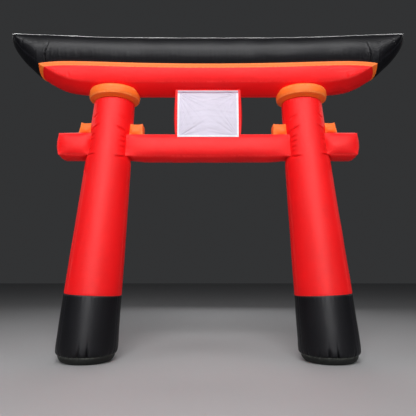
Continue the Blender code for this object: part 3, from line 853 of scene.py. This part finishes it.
def chamber_side(side, chamber):
    """Rings from the middle to the tip; the belt and the roof stand level on their neighbour first."""
    first, last = REACH[chamber]
    stations = [(i, False, 0.0, 0.0) for i in range(first)]
    if chamber != "red":
        stations += [(first, False, GAP_STEP, 0.0), (first, True, GAP_STEP, CLEAR / 2)]
        first += 1
    end_lift = -CLEAR / 2 if chamber == "belt" else 0.0
    stations += [(i, True, 0.0, end_lift * (i == last)) for i in range(first, last + 1)]
    rings, gaps = zip(*(station_ring(i, side, chamber, *settings) for i, *settings in stations))
    return np.array(rings), np.array(gaps), side * np.array([HULL_RUN[i] for i, *_ in stations])


def beam_chamber(chamber, node, slot):
    left, right = chamber_side(LEFT, chamber), chamber_side(RIGHT, chamber)
    rings, gaps, runs = (np.concatenate([a[:0:-1], b]) for a, b in zip(left, right))
    around = girth(rings[len(rings) // 2])
    skin = sewn_skin(f"beam_{chamber}_skin", rings, CLOTH[slot], runs, around, gaps, runs[:, None])
    fit_in_frame(skin, node)


for chamber, node, slot in (
    ("roof", "roof_beam_black", "black_cloth"),
    ("belt", "roof_beam_belt", "orange_cloth"),
    ("red", "roof_beam_red", "red_cloth"),
):
    beam_chamber(chamber, node, slot)

# %% [markdown]
# ## Collars
#
# Between each leg and the beam sits a puffed orange ring like a thick cushion cover: an upright band with
# a seam above and below. A torus would bulge too evenly. A profile is turned about the leg's top instead,
# with a slightly puffed band, and its upper face is pressed flat by the beam.


# %% Collar skins
def beam_underside(x, y):
    """Height of the red hull's lowest surface over a point."""
    seam = np.interp(np.abs(x), HULL[:, 0], HULL[:, 1])
    depth = hull_half_depth(x) - hull_lean(x)
    return np.where(np.abs(y) < depth, seam - hull_drop(x) * (1.0 - (y / depth) ** 2), 9.0)


COLLAR_OUTLINE = (  # height, radius
    (3.4562, 0.250),
    (3.4600, 0.264),
    (3.4690, 0.282),
    (3.4750, 0.299),
    (3.4800, 0.318),
    (3.4860, 0.3310),
    (3.4915, 0.3365),
    (3.4945, 0.3355),
    (3.4990, 0.3385),
    (3.5110, 0.3430),
    (3.5380, 0.3460),
    (3.5620, 0.3435),
    (3.5780, 0.3395),
    (3.5840, 0.3370),
    (3.5880, 0.3390),
    (3.5990, 0.3365),
    (3.6110, 0.3265),
    (3.6190, 0.3120),
    (3.6215, 0.2980),
)


COLLAR_SEAMS = (3.4945, 3.5855)
COLLAR_TOP_Z, COLLAR_FACE_RADIUS = COLLAR_OUTLINE[-1]


def collar_skin(side, tag):
    columns = 240
    outline = smooth_line(COLLAR_OUTLINE, 0.004)
    turn, angle = around_leg(columns, side)
    z, radius = outline[:, :1], outline[:, 1:]
    seam = np.min([np.abs(z - height) for height in COLLAR_SEAMS], axis=0)
    beat = ripple(angle * MEAN_RADIUS, 0.036, 2 * wander(angle, 0.3, 91 + side))
    puff = 0.0016 * beat * np.exp(-seam / 0.012) + 0.0014 * crumple(angle * MEAN_RADIUS, z, 0.09, 92)
    middle = side * leg_axis(LEG_TOP_Z)
    x, y = middle + (radius + puff) * np.cos(turn), (radius + puff) * np.sin(turn)
    rings = [np.stack([x, y, np.minimum(z, beam_underside(x, y) - CLEAR)], -1)]
    for share in (0.8, 0.6, 0.4, 0.2):
        reach = COLLAR_FACE_RADIUS * share
        x, y = middle + reach * np.cos(turn), reach * np.sin(turn)
        rings.append(np.stack([x, y, np.minimum(COLLAR_TOP_Z, beam_underside(x, y) - CLEAR)], -1))
    along = distance_along(outline)
    along = np.append(along, along[-1] + 0.06 * np.arange(1, 5))
    gaps = np.append(seam, np.full((4, 1), 0.1), axis=0)
    skin = sewn_skin(
        "collar_skin_" + tag, np.concatenate(rings), CLOTH["orange_cloth"],
        along, round_map(MEAN_RADIUS, columns), gaps, angle * MEAN_RADIUS)
    fit_in_frame(skin, "collar_" + tag)


for side, tag in ((LEFT, "left"), (RIGHT, "right")):
    collar_skin(side, tag)

# %% [markdown]
# ## Pillow boxes
#
# Crossbar, stubs, wedges and the tablet are boxes sewn from flat panels and blown up: every panel swells
# between straight seams, the corners stay pinched, and pleats run in from the end seams. A cube with
# subdivision would round the corners away. So the surface of a unit cube is laid out in rings, and each
# box maps it to its own place, next to the round leg or the swelling bar that it is sewn to.


# %% A unit cube in rings
ON_FACE = 0.9999  # a point whose u, v or w is beyond this lies on that face of the cube


def puff(v):
    return np.maximum(0.0, 1.0 - v * v) ** 0.7


def spaced(steps):
    """Points from -1 to 1, closer together near the seams."""
    return np.sin(np.linspace(-np.pi / 2, np.pi / 2, steps + 1))


def cube_rings(long_steps, side_steps, loops=8):
    """u, v, w of every point on a cube's surface: end loops, the long sides, end loops."""
    edge = spaced(side_steps)
    v = np.concatenate([edge[:-1], np.ones(side_steps), -edge[:-1], -np.ones(side_steps)])
    w = np.concatenate([-np.ones(side_steps), edge[:-1], np.ones(side_steps), -edge[:-1]])
    shrink = np.sin(np.linspace(0.08, 0.98, loops) * np.pi / 2)
    u = np.concatenate([-np.ones(loops), spaced(long_steps), np.ones(loops)])
    scale = np.concatenate([shrink, np.ones(long_steps + 1), shrink[::-1]])
    return u[:, None] + 0.0 * v, scale[:, None] * v, scale[:, None] * w


print("a cube in rings:", cube_rings(10, 8)[0].shape)


# %% Blow the cube up into a pillow
def box_relief(u, v, w, half, seed, end_depth):
    """Pleats that run in from the end seams and small ripples beside the long seams, in metres."""
    on_side = np.abs(v) > ON_FACE
    along_end = np.where(on_side, w * half[2], v * half[1])
    end_gap = (1.0 - np.abs(u)) * half[0]
    long_gap = np.where(on_side, (1.0 - np.abs(w)) * half[2], (1.0 - np.abs(v)) * half[1])
    pleats = end_depth * ripple(along_end, 0.045, 2 * wander(along_end + u, 0.12, seed))
    place = u * half[0]
    ripples = 0.0022 * ripple(place, 0.04, 2 * wander(place, 0.13, seed + 1))
    relief = pleats * np.exp(-end_gap / 0.045) + ripples * np.exp(-long_gap / 0.025)
    relief = relief + 0.003 * crumple(place, along_end, 0.2, seed + 2)
    edge = np.minimum(end_gap, long_gap)
    return relief * soft_step(0.0, 0.012, edge), edge, np.where(end_gap < long_gap, along_end, place)


def pillow(u, v, w, half, bulge, end_power, seed, end_depth=0.004, front_power=None):
    """The end panel's bulge in x, offsets in y and z from the box's middle, and the seam notes.

    bulge is how far the end, front, bottom and top panels swell; a higher power keeps the swelling up
    until nearer the ends.
    """
    end, front, bottom, top = bulge
    along = 1.0 - np.abs(u) ** end_power
    front_along = 1.0 - np.abs(u) ** (front_power or end_power)
    relief, edge, run = box_relief(u, v, w, half, seed, end_depth)
    on_u = np.abs(u) > ON_FACE
    on_v, on_w = (np.abs(v) > ON_FACE) & ~on_u, (np.abs(w) > ON_FACE) & ~on_u
    y = half[1] * v + np.where(on_v, np.sign(v) * (front * puff(w) * front_along + relief), 0.0)
    swell = np.where(w > 0, top, bottom) * puff(v) * along
    z = half[2] * w + np.where(on_w, np.sign(w) * (swell + relief), 0.0)
    end_edge = np.minimum((1 - np.abs(v)) * half[1], (1 - np.abs(w)) * half[2])
    end_wave = 0.003 * ripple(v * half[1] + w * half[2], 0.06) * soft_step(0, 0.02, end_edge)
    end_swell = end * puff(v) * puff(w) + end_wave * np.exp(-end_edge / 0.04) * (end > 0)
    x = np.where(on_u, np.sign(u) * end_swell, 0.0)
    return x, y, z, np.where(on_u, end_edge, edge), run


sample = pillow(*cube_rings(10, 8), (0.5, 0.1, 0.1), (0.0, 0.05, 0.05, 0.05), 4, 1)
print("a box 0.2 m deep, blown up:", round(2.0 * float(sample[1].max()), 3), "m")


def box_skin(name, node, slot, rings, u, half, edge, run):
    along = np.append(0.0, np.cumsum(np.abs(np.diff(u[:, 0])) * half[0]))
    around = girth(rings[len(rings) // 2])
    fit_in_frame(sewn_skin(name, rings, CLOTH[slot], along, around, edge, run), node)


# %% [markdown]
# ## Crossbar
#
# The square tube is sewn to each leg from the inside, and a stub carries its line on outside the leg. Its
# ends are hollow to fit the round leg. A cube and a Boolean cut would reach that fit only with ragged
# edges, so the rings of the pillow are stretched until the last one lies on the leg's own pinched surface.


# %% Where a box meets a leg
def leg_face(y, z, facing):
    """Distance from the gate's middle of the pinched leg's surface, on its inner (-1) or outer (1) side."""
    radius = leg_radius(z) - JOINT_PINCH
    return leg_axis(z) + facing * (np.sqrt(np.maximum(radius**2 - y**2, 1e-4)) + 1.5 * CLEAR)


print("from leg to leg at the crossbar:", round(2.0 * float(leg_face(0.0, BAR_Z, -1)), 3), "m")


# %% Crossbar and its stubs
BAR_BULGE = 0.050
BAR_CROWN, STUB_CROWN = 0.004, 0.024  # the tops swell less than the other panels
BAR_POWER, STUB_POWER = 11, 6.5
BAR_REACH, STUB_REACH = 1.05, 0.19  # half lengths
STUB_END_X = 2.005


def crossbar_skin():
    u, v, w = cube_rings(150, 26)
    half = (BAR_REACH, *BAR_HALF)
    bulge = (0.0, BAR_BULGE, BAR_BULGE, BAR_CROWN)
    _, y, z, edge, run = pillow(u, v, w, half, bulge, BAR_POWER, 101, 0.0055, front_power=7.0)
    x = u * leg_face(y, BAR_Z + z, -1)
    rings = np.stack([x, y, BAR_Z + z], -1)
    box_skin("crossbar_skin", "crossbar_middle", "red_cloth", rings, u, half, edge, run)


def stub_skin(side, tag):
    u, v, w = cube_rings(44, 26)
    half = (STUB_REACH, *BAR_HALF)
    bulge = (0.055, 0.058, BAR_BULGE, STUB_CROWN)
    swell, y, z, edge, run = pillow(u, v, w, half, bulge, STUB_POWER, 111 + side, 0.005, front_power=2.4)
    inner = leg_face(y, STUB_Z + z, 1)
    x = inner + (STUB_END_X - inner) * (u + 1.0) / 2.0 + np.where(u > 0, swell, 0.0)
    rings = np.stack([side * x, y, STUB_Z + z], -1)
    box_skin("crossbar_end_skin_" + tag, "crossbar_end_" + tag, "red_cloth", rings, u, half, edge, run)


crossbar_skin()
for side, tag in ((LEFT, "left"), (RIGHT, "right")):
    stub_skin(side, tag)

# %% [markdown]
# ## Wedges
#
# Small orange cushions fill the corners over the crossbar, one on each side of a leg. They sit on the bar's
# swollen top, so their lower face takes its shape, and the face against the leg is hollow.


# %% Wedge skins
STUB_MIDDLE_X = 1.815
WEDGE_HALF = (0.075, 0.100, 0.080)
WEDGE_POWER = 2.2
WEDGE_TOP = 0.311  # over the middle of the bar


def bar_top(x, y, facing):
    """Height of the crossbar's (-1) or a stub's (1) top over a point, with a little air between."""
    if facing < 0:
        centre, crown, power, share = BAR_Z, BAR_CROWN, BAR_POWER, np.abs(x) / BAR_REACH
    else:
        centre, crown, power = STUB_Z, STUB_CROWN, STUB_POWER
        share = np.abs((np.abs(x) - STUB_MIDDLE_X) / STUB_REACH)
    along = 1.0 - np.clip(share, 0.0, 1.0) ** power
    swell = (crown + 0.004) * puff(np.clip(y / BAR_HALF[0], -1, 1)) * along
    return centre + BAR_HALF[1] + swell + 0.003


def wedge_skin(side, tag, facing, place):
    u, v, w = cube_rings(22, 20, loops=7)
    bulge = (0.022, 0.036, 0.018, 0.018)
    seed = 121 + 3 * side + facing
    swell, y, z, edge, run = pillow(u, v, w, WEDGE_HALF, bulge, WEDGE_POWER, seed, end_depth=0.003)
    free_x = 0.890 if facing < 0 else 1.756 - 0.034 * (w + 1.0) / 2.0
    free_x = free_x - facing * 0.010 * (1.0 - w**2) * (1.0 - 0.5 * v**2)
    tuck = 1.0 - np.abs(u) ** WEDGE_POWER  # the middle of a seam is drawn in between its corners
    top_z = (BAR_Z if facing < 0 else STUB_Z) + WEDGE_TOP - 0.011 * tuck
    low_z = bar_top(0.93 if facing < 0 else 1.70, y, facing)
    share = z / (2.0 * WEDGE_HALF[2]) + 0.5
    height = low_z + (top_z - low_z) * share
    y = y * (1.0 - 0.08 * tuck * (w > 0))
    inner = leg_face(y, height, facing)
    x = inner + (free_x - inner) * (u + 1.0) / 2.0 + np.where(u > 0, facing * swell, 0.0)
    rings = np.stack([side * x, y, np.maximum(height, bar_top(x, y, facing))], -1)
    node = f"wedge_{tag}_{place}"
    box_skin(node + "_skin", node, "orange_cloth", rings, u, WEDGE_HALF, edge, run)


for side, tag in ((LEFT, "left"), (RIGHT, "right")):
    wedge_skin(side, tag, -1, "inner")
    wedge_skin(side, tag, 1, "outer")

# %% [markdown]
# ## Tablet
#
# The red box between the two beams carries the name board. It is clamped above and below, so its top
# follows the hull's underside and its foot the crossbar's top, and only its sides show pleats.


# %% Tablet skin
def tablet_skin():
    u, v, w = cube_rings(40, 34)
    half = (0.442, 0.140, 0.330)
    bulge = (0.0272, 0.034, 0.0, 0.0)
    swell, y, z, edge, run = pillow(u, v, w, half, bulge, 4, 131)
    x = u * half[0] + swell
    low, high = bar_top(np.abs(x), y, -1), beam_underside(x, y) - 0.002
    share = np.clip(z / (2.0 * half[2]) + 0.5, 0.0, 1.0)
    rings = np.stack([x, y, low + (high - low) * share], -1)
    box_skin("tablet_skin", "tablet_box", "red_cloth", rings, u, half, edge, run)


tablet_skin()

# %% [markdown]
# ## Name board
#
# A sheet of white cloth is stretched over the tablet and taped round its edges. Pulled from its four
# corners, it shows fine wrinkles that fan out from them. The sheet is a thin closed skin: two grids, front
# and back, that share one formula for the belly and the wrinkles, so that the tapes lie on it exactly.


# %% The board's belly and wrinkles
BOARD_HALF_WIDTH, BOARD_LOW_Z, BOARD_HIGH_Z = 0.410, 2.916, 3.578
BOARD_HEIGHT = BOARD_HIGH_Z - BOARD_LOW_Z
BOARD_SPAN = ((-BOARD_HALF_WIDTH, BOARD_HALF_WIDTH), (BOARD_LOW_Z, BOARD_HIGH_Z))
TAPE = 0.025
SHEET, TAPE_SHEET = 0.002, 0.0015  # how thick the cloth and the tape are


def corner_fans(x, z):
    """Wrinkles that fan out from the corners, in metres."""
    relief = 0.0
    heights = (BOARD_LOW_Z, BOARD_HIGH_Z - 0.05)
    corners = [(corner_x, corner_z) for corner_z in heights for corner_x in BOARD_SPAN[0]]
    for number, (corner_x, corner_z) in enumerate(corners):
        across, up = np.abs(x - corner_x), np.abs(z - corner_z)
        reach, angle = np.hypot(across, up), np.arctan2(up, across + 1e-6)
        rays = wander(angle, 0.075, 141 + number) + 0.7 * wander(angle, 0.035, 151 + number)
        relief = relief + 0.0060 * rays * np.exp(-((reach / 0.34) ** 2)) * soft_step(0.0, 0.10, reach)
    return relief


def rim_gap(x, z, x_span, z_span):
    """Distance to the nearest upright edge and to the nearest level edge."""
    return np.minimum(x - x_span[0], x_span[1] - x), np.minimum(z - z_span[0], z_span[1] - z)


def board_back_y(x, z):
    """The board leans out at the top, has a slight belly and is stepped where its top is folded over."""
    up = (z - BOARD_LOW_Z) / BOARD_HEIGHT
    belly = -0.186 + 0.024 * up - 0.024 * 4.0 * up * (1.0 - up)
    inside = soft_step(0.0, 0.03, np.minimum(*rim_gap(x, z, *BOARD_SPAN)))
    lines = 0.0024 * wander(z + 0.12 * np.abs(x), 0.028, 161) * inside
    hem = 0.006 * soft_step(0.0, 0.012, z - (BOARD_HIGH_Z - 0.050) - 0.004 * wander(x, 0.05, 162))
    return belly - inside * corner_fans(x, z) - lines + hem


def board_fold_shade(x, z):
    """Painted shade on the folded-over top: pale lilac, with a darker painted shadow along its wavy lower
    edge.
    """
    above = z - (BOARD_HIGH_Z - 0.046) - 0.003 * wander(x, 0.05, 162)
    return soft_step(0.0, 0.006, above) * (0.60 + 0.40 * bell(above - 0.009, 0.009))


print("wrinkles up to", round(float(np.abs(corner_fans(0.3, 3.0))), 4), "m near a corner")


# %% A thin closed sheet
def sheet_faces(columns, rows):
    """Quads of the front and the back grid, and the narrow ones that join them round the edge."""
    wide, count = columns + 1, (columns + 1) * (rows + 1)
    row, column = np.meshgrid(np.arange(rows), np.arange(columns), indexing="ij")
    low, high = row * wide + column, (row + 1) * wide + column
    back = np.stack([low, low + 1, high + 1, high], -1).reshape(-1, 4)
    rim = np.concatenate([
        np.arange(columns), np.arange(rows) * wide + columns,
        rows * wide + np.arange(columns, 0, -1), np.arange(rows, 0, -1) * wide])
    after = np.roll(rim, -1)
    return np.vstack([back + count, back[:, ::-1], np.stack([rim, after, after + count, rim + count], -1)])


print("faces of a sheet of 4 x 3 squares:", len(sheet_faces(4, 3)))


def cloth_sheet(name, x_span, z_span, lift, thickness, columns, rows, slot):
    """A sheet over the board's surface, lift in front of its back face."""
    x, z = np.meshgrid(np.linspace(*x_span, columns + 1), np.linspace(*z_span, rows + 1))
    y = board_back_y(x, z) - lift
    points = np.vstack([np.stack([x, y - part, z], -1).reshape(-1, 3) for part in (0.0, thickness)])
    faces = sheet_faces(columns, rows)
    side_gap, level_gap = rim_gap(x, z, x_span, z_span)
    edge = np.minimum(side_gap, level_gap)
    run = np.where(side_gap < edge + 1e-6, z, x)
    # the board's folded-over top carries its painted shade as a point note
    notes = {"seam_gap": edge, "seam_run": run, "painted_fold_shade": board_fold_shade(x, z)}
    notes = {label: np.tile(values.ravel(), 2) for label, values in notes.items()}
    cloth_map = points[faces.reshape(-1)][:, (0, 2)]
    return cloth_object(name, points, faces.tolist(), cloth_map, notes, CLOTH[slot])


# %% Board and tapes
def taped_board():
    wide, tall = BOARD_SPAN
    board = cloth_sheet("name_board_cloth", wide, tall, 0.0, SHEET, 116, 96, "white_cloth")
    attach(board, "root")
    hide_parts("name_board")
    inner = (wide[0] + TAPE + 0.0003, wide[1] - TAPE - 0.0003)
    rows = (
        ("left", (wide[0], wide[0] + TAPE), tall, 4, 96),
        ("right", (wide[1] - TAPE, wide[1]), tall, 4, 96),
        ("bottom", inner, (tall[0], tall[0] + TAPE), 110, 4),
        ("top", inner, (tall[1] - TAPE, tall[1]), 110, 4),
    )
    for place, across, upwards, columns, steps in rows:
        name = "board_tape_cloth_" + place
        tape = cloth_sheet(name, across, upwards, SHEET + 0.0005, TAPE_SHEET, columns, steps, "white_tape")
        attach(tape, "root")
        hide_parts("board_tape_" + place)


taped_board()

# %% [markdown]
# ## Studio
#
# The gate stands on a plain pale floor. Glossy cloth shows every lamp twice, as light and as a highlight,
# so the two are kept apart here: fill lamps light the colours and draw no highlight, and highlight lamps
# draw one and add no other light. A grid narrows a highlight lamp, so that it reaches only its own piece.
# One lamp overhead draws the bright line on the roof's edge, a tall one before each leg its upright
# highlight, and one outside and behind each leg the thin line on its edge.


# %% Floor
def pale_floor():
    reach = 40.0
    corners = [(-reach, -reach, 0), (reach, -reach, 0), (reach, reach, 0), (-reach, reach, 0)]
    mesh = bpy.data.meshes.new("floor")
    mesh.from_pydata(corners, [], [(0, 1, 2, 3)])
    floor = bpy.data.objects.new("floor", mesh)
    bpy.context.scene.collection.objects.link(floor)
    paint = bpy.data.materials.new("pale_floor")
    paint.use_nodes = True
    shader = paint.node_tree.nodes["Principled BSDF"]
    shader.inputs["Base Color"].default_value = (0.42, 0.42, 0.43, 1.0)
    shader.inputs["Roughness"].default_value = 0.65
    mesh.materials.append(paint)
    print("floor:", 2.0 * reach, "m wide")


pale_floor()


# %% Lamps
def soft_light(name, place, aim, size, power):
    lamp = bpy.data.lights.new(name, "AREA")
    lamp.shape = "RECTANGLE"
    lamp.size, lamp.size_y = size
    lamp.energy = power
    light = bpy.data.objects.new(name, lamp)
    light.location = place
    towards = np.array(aim, float) - np.array(place, float)
    yaw = math.atan2(-towards[0], towards[1])
    pitch = math.atan2(towards[2], math.hypot(towards[0], towards[1]))
    light.rotation_euler = (math.pi / 2 + pitch, 0.0, yaw)
    bpy.context.scene.collection.objects.link(light)
    return light


def fill_light(*settings):
    """Lights the cloth's colour and draws no highlight."""
    soft_light(*settings).visible_glossy = False


def highlight(*settings, grid=180.0):
    """Draws only a highlight; a grid of so many degrees keeps it off its neighbours."""
    light = soft_light(*settings)
    light.visible_diffuse = False
    light.data.spread = math.radians(grid)


# %% Lights: name, place, aim, size, watts
fill_light("front_light", (-0.6, -8.5, 4.6), (0, 0, 2.4), (5.0, 4.0), 210)
fill_light("high_light", (-0.2, -7.4, 8.7), (0, 0, 2.6), (4.6, 2.4), 620)
highlight("high_highlight", (-0.2, -7.4, 8.4), (0, 0, 2.6), (15.0, 2.0), 1800)
highlight("roof_highlight", (0, 3.0, 8.6), (0, 0, 4.2), (12.0, 1.0), 650)
fill_light("back_light", (0.6, 8.0, 4.6), (0, 0, 2.4), (5.0, 3.0), 170)
for side, tag in ((LEFT, "left_"), (RIGHT, "right_")):
    fill_light(tag + "side_light", (side * 8.0, -5.0, 3.4), (side * 1.5, 0, 2.0), (3.0, 4.0), 190)
    highlight(tag + "leg_highlight", (side * 1.7, -8.0, 3.0), (side * 1.5, 0, 1.8), (2.4, 4.0), 42, grid=34.0)
    highlight(tag + "edge_highlight", (side * 6.5, 3.5, 5.2), (side * 2.0, 0, 1.6), (1.2, 4.5), 4, grid=26.0)

world = bpy.data.worlds.new("studio")
world.use_nodes = True
sky = world.node_tree.nodes["Background"]
sky.inputs["Color"].default_value = (0.80, 0.82, 0.85, 1.0)
sky.inputs["Strength"].default_value = 0.04
bpy.context.scene.world = world
bpy.context.scene.view_settings.view_transform = "Standard"

# %% [markdown]
# ## Camera
#
# A gate looks tall when it is seen from low down. The camera stands 6 m in front of it, a little lower than
# a person's eyes, and looks up by a few degrees, so the undersides of the collars and the beam show. A tilted
# camera makes the legs converge, which a shifted lens would hide.

# %% Camera
EYE_DISTANCE, EYE_HEIGHT, LOOK_UP = 6.0, 1.13, 8.1
eye = bpy.data.cameras.new("camera")
eye.lens, eye.sensor_width = 38.94, 36.0
camera = bpy.data.objects.new("camera", eye)
camera.location = (0.0, -EYE_DISTANCE, EYE_HEIGHT)
camera.rotation_euler = (math.radians(90.0 + LOOK_UP), 0.0, 0.0)
bpy.context.scene.collection.objects.link(camera)
bpy.context.scene.camera = camera
print("camera", EYE_DISTANCE, "m away looks up", LOOK_UP, "degrees")
